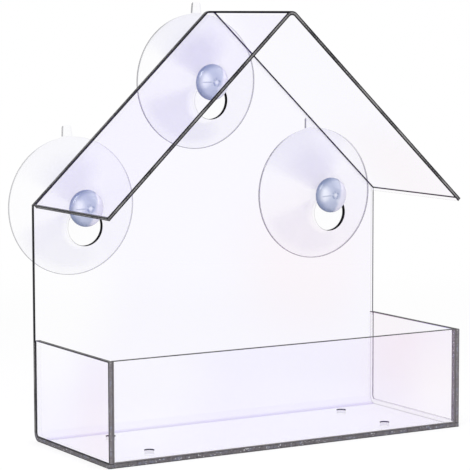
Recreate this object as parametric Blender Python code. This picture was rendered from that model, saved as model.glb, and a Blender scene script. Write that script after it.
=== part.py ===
"""A clear acrylic window feeder shaped like a small house, hung on three suction cups.

One bent sheet makes the back and the floor. A V-bent roof, two tray sides and a tray front are
cemented to it. Each suction cup is one moulding whose mushroom head hangs in a keyhole of the back.

Frame: metres, +Z up, +X to the right seen from the front, +Y towards the window.
The origin is the centre of the floor's underside.
"""

import math

import bmesh
import bpy
from mathutils import Vector

MM = 0.001

# The house, as built from sheet
WIDTH = 150.0 * MM
DEPTH = 60.0 * MM
RIDGE_HEIGHT = 158.0 * MM
EAVE_HEIGHT = 87.5 * MM
TRAY_HEIGHT = 37.7 * MM
PANEL_SHEET = 1.8 * MM
ROOF_SHEET = 1.5 * MM
FLOOR_BEND_RADIUS = 1.5 * MM
RIDGE_BEND_RADIUS = 1.6 * MM
BOND_GAP = 0.3 * MM

# Drain holes in the floor
DRAIN_DIAMETER = 3.5 * MM
DRAIN_SIDE_INSET = 24.0 * MM
DRAIN_END_INSET = 15.0 * MM

# Where the cups hang: their necks rest at the top end of each keyhole's slot
SIDE_CUP_INSET = 21.0 * MM
SIDE_CUP_DROP = 2.0 * MM
TOP_CUP_DROP = 27.0 * MM
SLOT_TRAVEL = 7.0 * MM

# The suction cup
CUP_DIAMETER = 52.0 * MM
CUP_REACH = 10.0 * MM
CAVITY_DEPTH = 5.6 * MM
RIM_THICKNESS = 0.9 * MM
RIM_LIP = 1.5 * MM
COLLAR_DIAMETER = 11.0 * MM
COLLAR_GAP = 0.3 * MM
NECK_DIAMETER = 6.4 * MM
NECK_CLEARANCE = 0.3 * MM
HEAD_DIAMETER = 13.8 * MM
HEAD_CLEARANCE = 0.2 * MM
HEAD_GAP = 0.3 * MM
HEAD_HEIGHT = 3.2 * MM
HEAD_EDGE = 0.9 * MM
TAB_WIDTH = 4.7 * MM
TAB_LENGTH = 4.4 * MM
TAB_TAPER = math.radians(5.5)
TAB_ROOT = 1.1 * MM
TAB_THICKNESS = 0.8 * MM
TAB_SETBACK = 0.15 * MM
TAB_CORNER_RADIUS = 0.9 * MM
DOME_CURVE_SHARE = 0.9

# How finely round shapes are drawn, and how far a cutter runs past what it cuts
CUP_SEGMENTS = 40
HOLE_STEPS = 28
BEND_STEPS = 6
CORNER_STEPS = 4
HEAD_STEPS = 4
DOME_STEPS = 6
CAVITY_STEPS = 5
CUT_OVERRUN = 4.0 * MM
SMOOTH_ANGLE = math.radians(32.0)
MERGE_DISTANCE = 0.001 * MM

# Worked out from the sizes above
REAR_FACE = DEPTH / 2
FRONT_FACE = -DEPTH / 2
BACK_FRONT_FACE = REAR_FACE - PANEL_SHEET
SIDE_FACE = WIDTH / 2
FLOOR_BEND_OUTER = FLOOR_BEND_RADIUS + PANEL_SHEET
RIDGE_BEND_OUTER = RIDGE_BEND_RADIUS + ROOF_SHEET
RIDGE_CENTRE_HEIGHT = RIDGE_HEIGHT - RIDGE_BEND_OUTER
CUP_RADIUS = CUP_DIAMETER / 2
SIDE_CUP_X = SIDE_FACE - SIDE_CUP_INSET
SIDE_CUP_HEIGHT = EAVE_HEIGHT - SIDE_CUP_DROP
TOP_CUP_HEIGHT = RIDGE_HEIGHT - TOP_CUP_DROP
KEYHOLE_RADIUS = HEAD_DIAMETER / 2 + HEAD_CLEARANCE
SLOT_RADIUS = NECK_DIAMETER / 2 + NECK_CLEARANCE

CUP_PLACES = {
    "suction_cup_left": (-SIDE_CUP_X, SIDE_CUP_HEIGHT),
    "suction_cup_right": (SIDE_CUP_X, SIDE_CUP_HEIGHT),
    "suction_cup_top": (0.0, TOP_CUP_HEIGHT),
}


def roof_pitch():
    """The roof's angle: its outer face runs from the eave's corner to a tangent of the ridge bend."""
    run = SIDE_FACE
    rise = RIDGE_CENTRE_HEIGHT - EAVE_HEIGHT
    return math.atan2(rise, run) + math.asin(RIDGE_BEND_OUTER / math.hypot(run, rise))


def clear_scene():
    for obj in list(bpy.data.objects):
        bpy.data.objects.remove(obj, do_unlink=True)


def clear_plastic(name, colour, roughness, transmission, alpha):
    """A see-through moulding or sheet material."""
    material = bpy.data.materials.new(name)
    material.use_nodes = True
    shader = material.node_tree.nodes["Principled BSDF"]
    shader.inputs["Base Color"].default_value = (*colour, 1.0)
    shader.inputs["Metallic"].default_value = 0.0
    shader.inputs["Roughness"].default_value = roughness
    shader.inputs["IOR"].default_value = 1.49
    shader.inputs["Transmission Weight"].default_value = transmission
    shader.inputs["Alpha"].default_value = alpha
    material.diffuse_color = (*colour, alpha)
    return material


def arc(centre, radius, start, end, steps):
    """Points on an arc about centre, from the start angle to the end angle, both included."""
    turn = (end - start) / steps
    return [
        (centre[0] + radius * math.cos(start + turn * i), centre[1] + radius * math.sin(start + turn * i))
        for i in range(steps + 1)
    ]


def add_object(name, bm, material=None):
    """A scene object made from a finished bmesh, with round faces shaded smooth."""
    bmesh.ops.recalc_face_normals(bm, faces=bm.faces)
    mesh = bpy.data.meshes.new(name)
    bm.to_mesh(mesh)
    bm.free()
    mesh.shade_smooth()
    mesh.set_sharp_from_angle(angle=SMOOTH_ANGLE)
    if material:
        mesh.materials.append(material)
    obj = bpy.data.objects.new(name, mesh)
    bpy.context.scene.collection.objects.link(obj)
    return obj


def prism(name, outline, axis, low, high, material=None):
    """A closed solid: an outline in the plane square to axis, swept along axis from low to high."""
    place = {
        "X": lambda u, v, w: Vector((w, u, v)),
        "Y": lambda u, v, w: Vector((u, w, v)),
        "Z": lambda u, v, w: Vector((u, v, w)),
    }[axis]
    bm = bmesh.new()
    face = bm.faces.new([bm.verts.new(place(u, v, low)) for u, v in outline])
    swept = bmesh.ops.extrude_face_region(bm, geom=[face])
    moved = [item for item in swept["geom"] if isinstance(item, bmesh.types.BMVert)]
    bmesh.ops.translate(bm, vec=place(0.0, 0.0, high) - place(0.0, 0.0, low), verts=moved)
    return add_object(name, bm, material)


def helper(obj):
    """Marks an object as a construction helper, which isn't a piece of the feeder."""
    obj.hide_render = True
    obj.display_type = "WIRE"
    return obj


def boolean(obj, other, operation):
    modifier = obj.modifiers.new(f"{operation.lower()} {other.name}", "BOOLEAN")
    modifier.operation = operation
    modifier.solver = "EXACT"
    modifier.object = helper(other)


def bent_sheet_outline():
    """The back and floor seen from the side (Y, Z): one sheet with a round bend at the rear corner."""
    bend = (REAR_FACE - FLOOR_BEND_OUTER, FLOOR_BEND_OUTER)
    top = RIDGE_HEIGHT + CUT_OVERRUN
    outer = arc(bend, FLOOR_BEND_OUTER, 0.0, -math.pi / 2, BEND_STEPS)
    inner = arc(bend, FLOOR_BEND_RADIUS, -math.pi / 2, 0.0, BEND_STEPS)
    return [
        (REAR_FACE, top),
        *outer,
        (FRONT_FACE, 0.0),
        (FRONT_FACE, PANEL_SHEET),
        *inner,
        (BACK_FRONT_FACE, top),
    ]


def roof_line(radius, pitch, overrun):
    """One face of the roof seen from the front (X, Z), from the left eave over the ridge to the right one.

    radius is the bend's radius on that face. Each eave is run past its end by overrun.
    """
    ridge = (0.0, RIDGE_CENTRE_HEIGHT)
    bend = arc(ridge, radius, math.pi / 2 + pitch, math.pi / 2 - pitch, BEND_STEPS)
    inward = RIDGE_BEND_OUTER - radius
    eave_x = SIDE_FACE - inward * math.sin(pitch) + overrun * math.cos(pitch)
    eave_z = EAVE_HEIGHT - inward * math.cos(pitch) - overrun * math.sin(pitch)
    return [(-eave_x, eave_z), *bend, (eave_x, eave_z)]


def keyhole_outline(x, z):
    """A keyhole (X, Z): a round hole for the head, and a slot above it whose top end seats the neck."""
    hole_centre = (x, z - SLOT_TRAVEL)
    half_mouth = math.asin(SLOT_RADIUS / KEYHOLE_RADIUS)
    hole = arc(
        hole_centre,
        KEYHOLE_RADIUS,
        math.pi / 2 + half_mouth,
        math.pi / 2 - half_mouth + 2 * math.pi,
        HOLE_STEPS,
    )
    slot_end = arc((x, z), SLOT_RADIUS, 0.0, math.pi, HOLE_STEPS // 2)
    return hole + slot_end


def make_back_and_floor(material):
    panel = prism("back_and_floor", bent_sheet_outline(), "X", -SIDE_FACE, SIDE_FACE, material)
    above_roof = [
        *roof_line(RIDGE_BEND_OUTER, roof_pitch(), CUT_OVERRUN),
        (SIDE_FACE + 2 * CUT_OVERRUN, RIDGE_HEIGHT + 2 * CUT_OVERRUN),
        (-SIDE_FACE - 2 * CUT_OVERRUN, RIDGE_HEIGHT + 2 * CUT_OVERRUN),
    ]
    gable = prism("gable_cutter", above_roof, "Y", BACK_FRONT_FACE - CUT_OVERRUN, REAR_FACE + CUT_OVERRUN)
    boolean(panel, gable, "DIFFERENCE")
    for cup_name, (x, z) in CUP_PLACES.items():
        keyhole = prism(
            cup_name.replace("suction_cup", "keyhole") + "_cutter",
            keyhole_outline(x, z),
            "Y",
            BACK_FRONT_FACE - CUT_OVERRUN,
            REAR_FACE + CUT_OVERRUN,
        )
        boolean(panel, keyhole, "DIFFERENCE")
    for end in (-1, 1):
        for side in (-1, 1):
            centre = (end * (SIDE_FACE - DRAIN_SIDE_INSET), side * (REAR_FACE - DRAIN_END_INSET))
            ring = arc(centre, DRAIN_DIAMETER / 2, 0.0, 2 * math.pi, HOLE_STEPS // 2)[:-1]
            name = f"drain_{'left' if end < 0 else 'right'}_{'front' if side < 0 else 'rear'}_cutter"
            boolean(panel, prism(name, ring, "Z", -CUT_OVERRUN, PANEL_SHEET + CUT_OVERRUN), "DIFFERENCE")
    return panel


def make_roof(material):
    """The V-bent roof, cut square at its eaves and cemented by its rear edge to the back."""
    pitch = roof_pitch()
    outline = roof_line(RIDGE_BEND_OUTER, pitch, 0.0) + roof_line(RIDGE_BEND_RADIUS, pitch, 0.0)[::-1]
    return prism("roof", outline, "Y", FRONT_FACE, BACK_FRONT_FACE - BOND_GAP, material)


def make_tray_side(name, side, material):
    """An end wall of the tray. Its lower rear corner is rounded to lie in the sheet's bend."""
    rear = BACK_FRONT_FACE - BOND_GAP
    base = PANEL_SHEET + BOND_GAP
    corner_radius = FLOOR_BEND_RADIUS - BOND_GAP
    corner = arc(
        (rear - corner_radius, base + corner_radius), corner_radius, -math.pi / 2, 0.0, CORNER_STEPS
    )
    outline = [(FRONT_FACE, base), *corner, (rear, TRAY_HEIGHT), (FRONT_FACE, TRAY_HEIGHT)]
    low, high = sorted((side * SIDE_FACE, side * (SIDE_FACE - PANEL_SHEET)))
    return prism(name, outline, "X", low, high, material)


def make_tray_front(material):
    """The tray's front wall, which stands on the floor between the two end walls."""
    reach = SIDE_FACE - PANEL_SHEET - BOND_GAP
    base = PANEL_SHEET + BOND_GAP
    outline = [(-reach, base), (reach, base), (reach, TRAY_HEIGHT), (-reach, TRAY_HEIGHT)]
    return prism("tray_front", outline, "Y", FRONT_FACE, FRONT_FACE + PANEL_SHEET, material)


def cavity_face(radius):
    """How far behind the back's rear face the cup's hollow side lies, at a radius."""
    share = radius / (CUP_RADIUS - RIM_LIP)
    return CUP_REACH - CAVITY_DEPTH * (1 - share**2)


def dome_face(radius):
    """The same for the cup's outer side, from the collar out to the rim."""
    collar = COLLAR_DIAMETER / 2
    share = (radius - collar) / (CUP_RADIUS - collar)
    return COLLAR_GAP + (CUP_REACH - RIM_THICKNESS - COLLAR_GAP) * share**DOME_CURVE_SHARE


def cup_profile():
    """Half of the cup's section as (radius, distance behind the back's rear face).

    It runs from the tip of the head, down the neck, over the dome and rim, to the hollow's middle.
    """
    underside = -(PANEL_SHEET + HEAD_GAP)
    edge = underside - HEAD_EDGE
    head_radius = HEAD_DIAMETER / 2
    neck = NECK_DIAMETER / 2
    collar = COLLAR_DIAMETER / 2
    crown = [
        (head_radius * math.sin(turn), edge - (HEAD_HEIGHT - HEAD_EDGE) * math.cos(turn))
        for turn in [math.pi / 2 * i / HEAD_STEPS for i in range(1, HEAD_STEPS + 1)]
    ]
    dome_radii = [collar + (CUP_RADIUS - collar) * i / DOME_STEPS for i in range(DOME_STEPS + 1)]
    cavity_radii = [(CUP_RADIUS - RIM_LIP) * (1 - i / CAVITY_STEPS) for i in range(CAVITY_STEPS + 1)]
    return [
        (0.0, underside - HEAD_HEIGHT),
        *crown,
        (head_radius, underside),
        (neck, underside),
        (neck, COLLAR_GAP),
        *((r, dome_face(r)) for r in dome_radii),
        (CUP_RADIUS, CUP_REACH),
        *((r, cavity_face(r)) for r in cavity_radii),
    ]


def cup_mesh_object(name, material):
    """The cup's profile spun about the Y axis."""
    bm = bmesh.new()
    verts = [bm.verts.new((r, y, 0.0)) for r, y in cup_profile()]
    edges = [bm.edges.new(pair) for pair in zip(verts, verts[1:])]
    bmesh.ops.spin(
        bm,
        geom=verts + edges,
        cent=(0.0, 0.0, 0.0),
        axis=(0.0, 1.0, 0.0),
        angle=2 * math.pi,
        steps=CUP_SEGMENTS,
        use_merge=True,
    )
    bmesh.ops.remove_doubles(bm, verts=bm.verts, dist=MERGE_DISTANCE)
    return add_object(name, bm, material)


def tab_outline():
    """The pull tab (X, Z) on top of the cup's rim: it narrows from its root to two rounded corners."""
    half = TAB_WIDTH / 2
    root = CUP_RADIUS - TAB_ROOT
    corner_z = CUP_RADIUS + TAB_LENGTH - TAB_CORNER_RADIUS
    corner_x = half - (corner_z - root) * math.tan(TAB_TAPER) - TAB_CORNER_RADIUS / math.cos(TAB_TAPER)
    right = arc((corner_x, corner_z), TAB_CORNER_RADIUS, TAB_TAPER, math.pi / 2, CORNER_STEPS)
    left = [(-x, z) for x, z in reversed(right)]
    return [(-half, root), (half, root), *right, *left]


def make_cup(name, x, z, material):
    """One suction cup, whose origin is on its neck's axis in the plane of the back's rear face."""
    cup = cup_mesh_object(name, material)
    rear = CUP_REACH - TAB_SETBACK
    tab = prism(name.replace("suction_cup", "pull_tab"), tab_outline(), "Y", rear - TAB_THICKNESS, rear)
    boolean(cup, tab, "UNION")
    for obj in (cup, tab):
        obj.location = (x, REAR_FACE, z)
    return cup


def main():
    clear_scene()
    acrylic = clear_plastic("clear_acrylic", (0.93, 0.93, 0.97), 0.04, 0.9, 0.35)
    vinyl = clear_plastic("clear_vinyl", (0.74, 0.77, 0.9), 0.18, 0.8, 0.55)
    make_back_and_floor(acrylic)
    make_roof(acrylic)
    make_tray_side("tray_side_left", -1, acrylic)
    make_tray_side("tray_side_right", 1, acrylic)
    make_tray_front(acrylic)
    for name, (x, z) in CUP_PLACES.items():
        make_cup(name, x, z, vinyl)


main()
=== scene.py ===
"""A clear acrylic window feeder and its three suction cups, finished as the real ones are.

Each acrylic part starts as a flat sheet with cut outlines and softened arrises; the back and the roof
are then bent, and each part is set in its place. A line of solvent cement closes each joint. The cups
are turned mouldings with a tab.

Frame: metres, +Z up, +X to the right seen from the front, +Y towards the window.
The origin is the centre of the floor's underside.
"""

import math

import bmesh
import bpy
from bpy.props import FloatProperty, FloatVectorProperty, PointerProperty
from bpy.types import Operator, Panel, PropertyGroup
from mathutils import Matrix, Vector


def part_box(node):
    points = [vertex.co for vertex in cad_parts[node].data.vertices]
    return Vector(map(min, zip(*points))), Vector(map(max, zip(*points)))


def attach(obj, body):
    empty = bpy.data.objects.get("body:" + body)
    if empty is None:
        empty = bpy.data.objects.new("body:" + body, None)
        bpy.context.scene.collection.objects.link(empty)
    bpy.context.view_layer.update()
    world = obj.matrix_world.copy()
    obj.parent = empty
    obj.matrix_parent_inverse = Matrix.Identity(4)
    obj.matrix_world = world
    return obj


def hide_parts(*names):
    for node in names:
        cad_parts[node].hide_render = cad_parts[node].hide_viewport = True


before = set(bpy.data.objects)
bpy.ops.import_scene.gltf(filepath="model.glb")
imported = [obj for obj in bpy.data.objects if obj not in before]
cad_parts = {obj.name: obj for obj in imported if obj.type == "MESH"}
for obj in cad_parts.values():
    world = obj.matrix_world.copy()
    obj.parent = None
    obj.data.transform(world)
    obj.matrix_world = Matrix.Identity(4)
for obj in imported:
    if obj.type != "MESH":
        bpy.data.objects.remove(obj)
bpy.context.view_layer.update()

bl_info = {
    "name": "Window Feeder",
    "version": (1, 0, 0),
    "blender": (4, 5, 0),
    "location": "3D View > Sidebar > Feeder",
    "description": "Makes a clear acrylic window feeder with its suction cups and a plain studio",
    "category": "Add Mesh",
}

MM = 0.001

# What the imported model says: the corners of its nodes, the bodies of the cups, and the faces and
# heights that the corners give
BACK_LOW, BACK_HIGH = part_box("back_and_floor")
SIDE_LOW, SIDE_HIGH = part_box("tray_side_left")
CUP_BODIES = {"left": "left_cup", "right": "right_cup", "top": "top_cup"}
SIDE_FACE = BACK_HIGH.x
REAR_FACE = BACK_HIGH.y
FRONT_FACE = BACK_LOW.y
RIDGE_HEIGHT = BACK_HIGH.z
TRAY_HEIGHT = SIDE_HIGH.z

# How dark each cup's rim looks, which is painted shade, and how far the cup is turned about its neck,
# to the left
RIM_COVERS = {"left": 0.62, "right": 0.88, "top": 0.8}
CUP_TURNS = {"left": math.radians(3.5), "right": math.radians(5.0), "top": 0.0}

# How deep the film's tint is in the upper fan of its rays, how much that fades towards the rim, and
# how deep it is in the lower fan; the clearer film between the fans is painted sheen of the lamps
FILM_FANS = {"left": (1.0, 0.6, 1.0), "right": (1.35, 0.3, 0.9), "top": (1.5, 0.45, 1.6)}

# The slots of a sheet's mesh, in order, and the names of the stored places
FACE, CUT, TRAY_CUT, HOLE, WELDED, BEND = range(6)
SHEET_PLACE = "sheet_place"
CUP_PLACE = "cup_place"

# Linear colours of small marks, and of the background
WHITE = (1.0, 1.0, 1.0)
FLECK = (0.75, 0.75, 0.78)
BUBBLE = (0.9, 0.9, 0.92)
HOLE_STREAK = (0.03, 0.03, 0.034)
FLOOR_PATCH = (0.86, 0.86, 0.88)

# Where each sheet's tint is pale, and where it is rosy, in millimetres of the flat sheet
TINT_SPOTS = {
    "back": ((-68.0, 50.0), (45.0, 62.0)),
    "roof": ((0.0, 40.0), (95.0, -10.0)),
    "tray_side_left": ((20.0, 33.0), (-25.0, 8.0)),
    "tray_side_right": ((-25.0, 8.0), (20.0, 33.0)),
    "tray_front": ((-60.0, 30.0), (60.0, 30.0)),
}

# Over how many millimetres these fade: the two spots, the painted reflection of a cut edge on the face
# beside it, and a painted black stretch of one
PALE_REACH = (8.0, 38.0)
ROSY_REACH = (8.0, 50.0)
EDGE_REFLECTION_BLUR = 0.15
BLACK_FADE = 2.0

# How far the back's side edges, painted black as painted shade, reach below the tray's top, and how broad
# the painted reflection of the cut edge is that shows on the face along the roof's eaves and along the top
# of the tray's end walls
BLACK_OVERLAP = 2.0 * MM
EAVE_EDGE_REFLECTION = 0.7 * MM
TRAY_TOP_EDGE_REFLECTION = 0.4 * MM

# How high the lines of a cut edge, the tray edges' mottling and the cement's clouds stand
LINE_RELIEF = 0.02 * MM
MOTTLE_RELIEF = 0.03 * MM
CLOUD_RELIEF = 0.05 * MM

ACRYLIC_IOR = 1.49
VINYL_IOR = 1.52

# Directions on a cup in degrees clockwise from its top, seen from the front: the two fans of tint, and
# the wedge of painted sheen where the film is clearer
UPPER_FAN = -7.5
LOWER_FAN = -150.0
SHEEN_WEDGE = -83.0

# Over which radii of a cup these fade, in millimetres: the film's two fans, the tint round its head
# and the thicker vinyl round its neck
UPPER_FAN_FADE = (13.0, 23.0)
LOWER_FAN_FADE = (21.0, 25.0)
INNER_FADE = (7.5, 14.0)
NECK_FADE = (3.0, 6.0)

# The clear spot below a cup's head, and over what distance from it the tint comes back
CLEAR_SPOT = (1.8, 0.0, -7.4)
CLEAR_SPOT_EDGE = (7.4, 9.6)

# Places on the front of a mushroom head, as shares of its radius from its middle: the gate mark, and two
# painted highlights
GATE_PLACE_SHARES = (0.092, 0.0, 0.0)
LEFT_HIGHLIGHT_SHARES = (-0.71, 0.0, 0.154)
LOWER_HIGHLIGHT_SHARES = (0.277, 0.0, -0.354)

# The studio, in metres: where the shadow on the floor fades out and how much of it shows, how far the
# floor lies below the feeder, each lamp's place and size, and where the camera's view begins
SHADOW_REACH = (0.16, 0.55)
SHADOW_SHARE = 0.32
FLOOR_GAP = 0.1 * MM
KEY_LAMP = ((-0.9, -0.9, 1.1), 0.9)
FILL_LAMP = ((1.1, -0.7, 0.6), 0.8)
NEAR_CLIP = 0.05

# How many clear faces a ray may cross, which the cups and sheets behind each other need
CLEAR_FACES_CROSSED = 48

# How finely shapes are drawn, up to which angle two faces are shaded as one, and how near points may
# be before they count as the same
BEND_STEPS = 16
HOLE_STEPS = 72
DRAIN_STEPS = 32
CORNER_STEPS = 8
ARRIS_STEPS = 2
TAB_ARRIS_STEPS = 3
CUP_SEGMENTS = 144
FILLET_STEPS = 5
HEAD_STEPS = 14
DOME_STEPS = 26
CAVITY_STEPS = 34
SMOOTH_ANGLE = math.radians(40.0)
MERGE_DISTANCE = 0.0005 * MM
CREASE_TOLERANCE = 0.000005 * MM

# Shares that shape the mouldings: the dome's and the gate mark's curves, how far the dome's rings crowd
# towards the collar, the room a rim's fillet needs, and how far cement stops short, in arrises
DOME_CURVE = 0.9
GATE_SHARPNESS = 6.0
DOME_CROWDING = 1.3
FILLET_ROOM = 1.5
WELD_SETBACK = 0.3


def number(label, text, value, **kind):
    """A setting that is a number."""
    return FloatProperty(name=label, description=text, default=value, **kind)


def length(label, text, millimetres):
    """A setting that is a length, kept in metres."""
    kind = {"min": 0.0, "precision": 5, "subtype": "DISTANCE", "unit": "LENGTH"}
    return number(label, text, millimetres * MM, **kind)


def angle(label, text, degrees):
    """A setting that is an angle, kept in radians."""
    return number(label, text, math.radians(degrees), subtype="ANGLE", unit="ROTATION")


def share(label, text, value):
    """A setting from 0 to 1."""
    return number(label, text, value, min=0.0, max=1.0, subtype="FACTOR")


def colour(label, text, rgb):
    """A setting that is a linear colour."""
    kind = {"size": 3, "min": 0.0, "max": 1.0, "subtype": "COLOR"}
    return FloatVectorProperty(name=label, description=text, default=rgb, **kind)


class FeederSheetSettings(PropertyGroup):
    """The acrylic sheet, its bends and its joints."""

    panel_sheet: length("Panel sheet", "Thickness of all but the roof", (SIDE_HIGH.x - SIDE_LOW.x) / MM)
    roof_sheet: length("Roof sheet", "Thickness of the roof", 1.5)
    eave_height: length("Eave height", "Height of the roof's outer face at its eaves", 87.5)
    floor_bend: length("Floor bend", "Inside radius of the bend between back and floor", 1.5)
    ridge_bend: length("Ridge bend", "Inside radius of the roof's bend", 1.6)
    arris: length("Arris", "How far the cut edges' corners are softened", 0.12)
    weld_fillet: length("Cement fillet", "Size of the cement's fillet inside a joint", 0.3)
    weld_sink: length("Cement overlap", "How far the cement bites into the sheets it joins", 0.02)


class FeederHoleSettings(PropertyGroup):
    """The keyholes that the cups hang in, and the drain holes."""

    hole_diameter: length("Keyhole hole", "Diameter of the round hole that a cup's head passes", 14.2)
    slot_width: length("Keyhole slot", "Width of the slot that a cup's neck slides in", 7.0)
    slot_travel: length("Slot travel", "How far the neck's seat lies above the round hole's centre", 7.0)
    drain_diameter: length("Drain diameter", "Diameter of the floor's drain holes", 3.5)
    drain_side_inset: length("Drain side inset", "Distance of the drains from the floor's sides", 24.0)
    drain_end_inset: length("Drain end inset", "Distance of the drains from its front and rear", 15.0)


class FeederCupSettings(PropertyGroup):
    """One suction cup."""

    diameter: length("Cup diameter", "Diameter of the rim", 52.0)
    reach: length("Reach", "How far the rim's plane lies behind the back", 10.0)
    cavity: length("Cavity depth", "Depth of the hollow side", 5.6)
    rim: length("Rim thickness", "Thickness of the film at the rim", 0.9)
    lip: length("Lip width", "Width of the flat that meets the glass", 1.5)
    collar: length("Collar diameter", "Diameter of the flat that bears on the back", 11.0)
    collar_gap: length("Collar gap", "Gap between the collar and the back", 0.3)
    neck: length("Neck diameter", "Diameter of the neck", 6.4)
    head: length("Head diameter", "Diameter of the mushroom head", 13.8)
    head_gap: length("Head gap", "Gap between the head and the back's front face", 0.3)
    head_height: length("Head height", "Height of the head from its underside to its tip", 3.2)
    head_edge: length("Head edge", "Straight part of the head's side", 0.9)
    neck_fillet: length("Neck fillet", "Fillet at both ends of the neck", 0.25)
    head_fillet: length("Head fillet", "Rounding of the head's lower corner", 0.35)
    rim_fillet: length("Rim fillet", "Rounding of the rim", 0.42)
    gate_radius: length("Gate radius", "Radius of the moulding mark on the head", 1.1)
    gate_depth: length("Gate depth", "Depth of that mark", 0.16)
    ripple: length("Ripple", "Height of the moulding rings in the hollow", 0.02)
    ripple_pitch: length("Ripple pitch", "Distance between these rings", 1.6)
    tab_width: length("Tab width", "Width of the pull tab at its root", 4.7)
    tab_length: length("Tab length", "How far the tab stands out of the rim", 4.4)
    tab_taper: angle("Tab taper", "How far each side of the tab leans in", 5.5)
    tab_root: length("Tab root", "How far the tab reaches into the rim", 1.1)
    tab_thickness: length("Tab thickness", "Thickness of the tab", 0.8)
    tab_setback: length("Tab setback", "Gap between the tab and the rim's plane", 0.15)
    tab_corner: length("Tab corner", "Radius of the tab's corners", 0.9)
    tab_arris: length("Tab arris", "Rounding of the tab's edges", 0.28)


class FeederColourSettings(PropertyGroup):
    """Colours as linear values, and how much each surface covers what is behind it."""

    cool_tint: colour("Cool tint", "The sheet's usual tint", (0.17, 0.03, 0.86))
    warm_tint: colour("Warm tint", "The tint of its rosy patches", (0.45, 0.01, 0.38))
    sheet_cover: share("Sheet cover", "How much one face of the sheet covers", 0.027)
    # Painted shade: the cut edges' black borders and grey core, and the tray edges' dark borders in the
    # streak colour, stand for the dark that a clear cut edge shows; the streaks themselves are the cut's
    # marks
    edge_black: colour("Edge border", "The dark borders of a cut edge", (0.010, 0.010, 0.012))
    edge_core: colour("Edge core", "The grey middle of a cut edge", (0.200, 0.195, 0.195))
    edge_streak: colour("Edge streak", "The fine lines across it", (0.030, 0.029, 0.032))
    tray_core: colour("Tray edge core", "The middle of the tray's cemented cut edges", (0.165, 0.153, 0.160))
    tray_streak: colour("Tray edge streak", "The dark streaks in it", (0.085, 0.070, 0.090))
    tray_blue: colour("Tray edge blue", "Its bluish patches", (0.195, 0.205, 0.275))
    cement: colour("Cement", "The solvent cement", (0.42, 0.40, 0.50))
    vinyl_tint: colour("Vinyl tint", "The tint of the cup's film", (0.42, 0.41, 0.60))
    # The rim's grey is painted shade, the clear rim seen edge on
    rim_grey: colour("Rim grey", "The cup's rim seen edge on", (0.22, 0.22, 0.23))
    head_middle: colour("Head middle", "The middle of the mushroom head", (0.370, 0.405, 0.540))
    # The head's light patches are painted highlights, and its pale far side is painted light; the dark colour
    # draws its painted shaded border, its gate mark and a painted dash of reflection
    head_light: colour("Head light", "Its light patches", (0.62, 0.64, 0.73))
    head_dark: colour("Head dark", "Its dark border", (0.115, 0.155, 0.285))
    head_pale: colour("Head pale", "Its pale far side", (0.64, 0.63, 0.74))
    floor: colour("Studio floor", "The pale floor that the feeder stands on", (0.92, 0.92, 0.93))


class FeederStageSettings(PropertyGroup):
    """The camera and the soft studio light."""

    azimuth: angle("Camera azimuth", "The camera's direction round the feeder, from its front", -30.62)
    elevation: angle("Camera elevation", "The camera's height above the horizon", 5.95)
    roll: angle("Camera roll", "The camera's turn about its own line of sight", -0.14)
    distance: length("Camera distance", "From the camera to the point it looks at", 814.79)
    target_x: number("Target X", "Where the camera looks, from the middle", -6.22 * MM, unit="LENGTH")
    target_z: length("Target Z", "Where the camera looks, above the floor", 75.34)
    lens: number("Lens", "Focal length in millimetres", 168.25, unit="CAMERA")
    sensor: number("Sensor", "Sensor width in millimetres", 36.0, unit="CAMERA")
    floor_size: length("Floor size", "Width of the studio floor", 6000.0)
    key_power: number("Key light", "Power of the large soft light", 20.0, unit="POWER")
    fill_power: number("Fill light", "Power of the fill light", 6.0, unit="POWER")
    sky: number("Studio sky", "Strength of the light from all round", 0.62)


class FeederSettings(PropertyGroup):
    """Everything that can be set on the feeder and its studio."""

    sheet: PointerProperty(type=FeederSheetSettings, name="Sheet", description="Acrylic sheet and joints")
    hole: PointerProperty(type=FeederHoleSettings, name="Holes", description="Keyholes and drain holes")
    cup: PointerProperty(type=FeederCupSettings, name="Cups", description="Suction cups")
    colour: PointerProperty(type=FeederColourSettings, name="Colours", description="Colours and covers")
    stage: PointerProperty(type=FeederStageSettings, name="Studio", description="Camera and light")


# Shader graphs


def arithmetic(operation):
    """A method of a wire that adds one Math node, fed by the wire and then by its arguments."""

    def method(wire, *values):
        return wire.math(operation, wire, *values)

    return method


class Wire:
    """An output socket of a graph that can be used in arithmetic."""

    __add__ = __radd__ = arithmetic("ADD")
    __sub__ = arithmetic("SUBTRACT")
    __mul__ = __rmul__ = arithmetic("MULTIPLY")
    __truediv__ = arithmetic("DIVIDE")
    __abs__ = arithmetic("ABSOLUTE")
    most = arithmetic("MAXIMUM")
    least = arithmetic("MINIMUM")

    def __init__(self, graph, socket):
        self.graph = graph
        self.socket = socket

    def math(self, operation, *values):
        """One Math node, fed by wires and numbers."""
        return self.graph.wire("ShaderNodeMath", 0, {"operation": operation}, dict(enumerate(values)))

    def __rsub__(self, other):
        return self.math("SUBTRACT", other, self)

    def __neg__(self):
        return self * -1.0

    def rise(self, low, high):
        """0 below low and 1 above high, with a smooth step between them."""
        settings = {"interpolation_type": "SMOOTHSTEP"}
        inputs = {"Value": self, "From Min": low, "From Max": high}
        return self.graph.wire("ShaderNodeMapRange", "Result", settings, inputs)

    def fall(self, low, high):
        """1 below low and 0 above high."""
        return 1.0 - self.rise(low, high)

    def near(self, middle, low, high):
        """1 within low of the middle and 0 beyond high of it."""
        return abs(self - middle).fall(low, high)


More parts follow.
